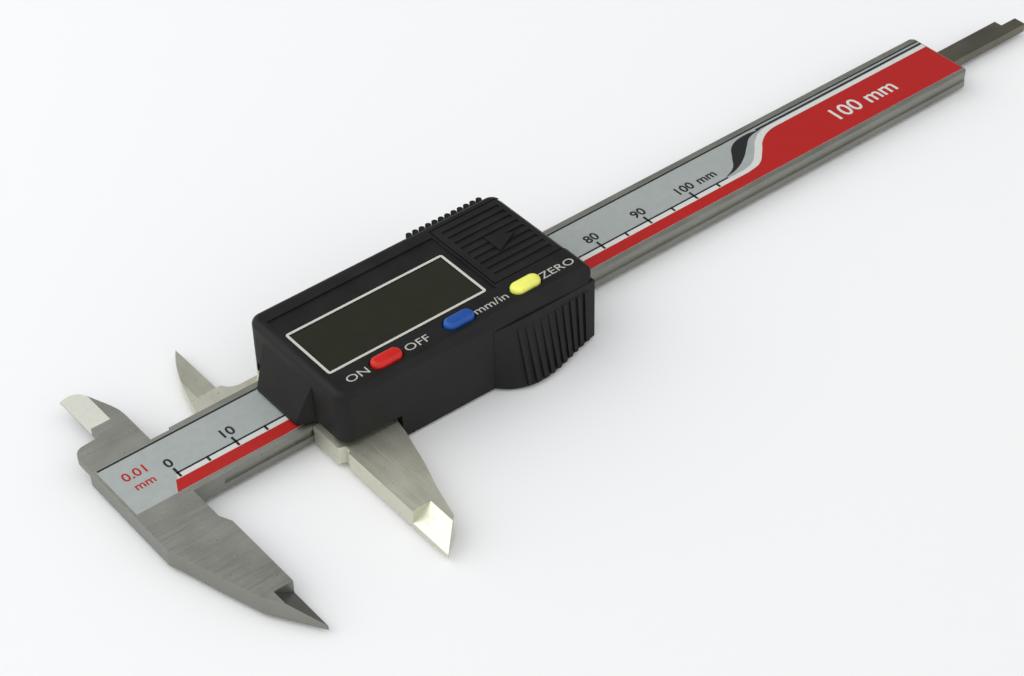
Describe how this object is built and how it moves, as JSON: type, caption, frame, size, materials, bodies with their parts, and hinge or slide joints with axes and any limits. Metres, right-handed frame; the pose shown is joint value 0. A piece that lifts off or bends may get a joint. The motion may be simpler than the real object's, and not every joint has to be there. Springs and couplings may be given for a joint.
{
  "type": "digital caliper",
  "caption": "Digital caliper with a sliding display head, outside and inside jaws, a depth rod, and a printed millimetre scale.",
  "frame": {"origin": "middle of the tool's outline seen from above, at the height of the surface that its slider's back plate lies on, with the jaws open by 20.4 mm", "axes": "+X along the beam from the jaws to the depth rod's tip, +Y towards the inside jaws, +Z out of the display"},
  "size_m": [0.1906, 0.0612, 0.0148],
  "materials": {
    "ground_steel": "fine ground stainless steel",
    "frame_steel": "satin stainless steel of the slider and moving jaws",
    "rod_steel": "darker drawn stainless steel",
    "screw_steel": "turned steel",
    "back_sheet": "satin sheet",
    "gib_brass": "plain",
    "label_film": "silver-grey printed film with red and black print",
    "board_green": "solder mask",
    "epoxy_black": "potting compound",
    "housing_black": "black moulded plastic, fine spark texture",
    "holder_plastic": "white moulded plastic",
    "zebra_rubber": "conducting rubber strip",
    "lcd_glass": "liquid crystal cell, switched off",
    "window_clear": "clear moulded window",
    "print_white": "white pad print",
    "button_red": "red moulded plastic",
    "button_blue": "blue moulded plastic",
    "button_yellow": "yellow moulded plastic",
    "cell_steel": "nickel plated can",
    "contact_metal": "plated spring sheet"
  },
  "bodies": {
    "main_scale": {"beam": "ground_steel", "scale_strip": "board_green", "scale_label": "label_film", "end_stop": "frame_steel", "end_stop_screws": "screw_steel"},
    "slider": {"slider_frame": "frame_steel", "gib_strip": "gib_brass", "gib_screws": "screw_steel", "depth_rod": "rod_steel", "rod_spacer": "frame_steel", "rod_screws": "screw_steel", "back_plate": "back_sheet", "back_plate_screws": "screw_steel", "circuit_board": "board_green", "board_screws": "screw_steel", "chip_cap": "epoxy_black", "zebra_strip": "zebra_rubber", "lcd_holder": "holder_plastic", "lcd_glass": "lcd_glass", "display_window": "window_clear", "window_border": "print_white", "housing": "housing_black", "housing_screws": "screw_steel", "button_domes": "contact_metal", "button_cell": "cell_steel", "battery_contact_negative": "contact_metal", "battery_contact_positive": "contact_metal"},
    "power_button": {"power_button": "button_red"},
    "unit_button": {"unit_button": "button_blue"},
    "zero_button": {"zero_button": "button_yellow"},
    "battery_lid": {"battery_lid": "housing_black"},
    "lock_screw": {"lock_screw": "screw_steel"}
  },
  "joints": [
    {"name": "slider_travel", "type": "slide", "parent": "main_scale", "child": "slider", "axis": [1, 0, 0], "range_m": [-0.02035, 0.0796]},
    {"name": "power_button_press", "type": "slide", "parent": "slider", "child": "power_button", "axis": [0, 0, -1], "range_m": [0, 0.0005], "stiffness_N_per_m": 1000},
    {"name": "unit_button_press", "type": "slide", "parent": "slider", "child": "unit_button", "axis": [0, 0, -1], "range_m": [0, 0.0005], "stiffness_N_per_m": 1000},
    {"name": "zero_button_press", "type": "slide", "parent": "slider", "child": "zero_button", "axis": [0, 0, -1], "range_m": [0, 0.0005], "stiffness_N_per_m": 1000},
    {"name": "battery_lid_slide", "type": "slide", "parent": "slider", "child": "battery_lid", "axis": [1, 0, 0], "range_m": [0, 0.0145]},
    {"name": "lock_screw_turn", "type": "hinge", "parent": "slider", "child": "lock_screw", "pos_m": [-0.0427, 0.01835, 0.0025], "axis": [0, -1, 0], "range_deg": [0, 180]}
  ]
}
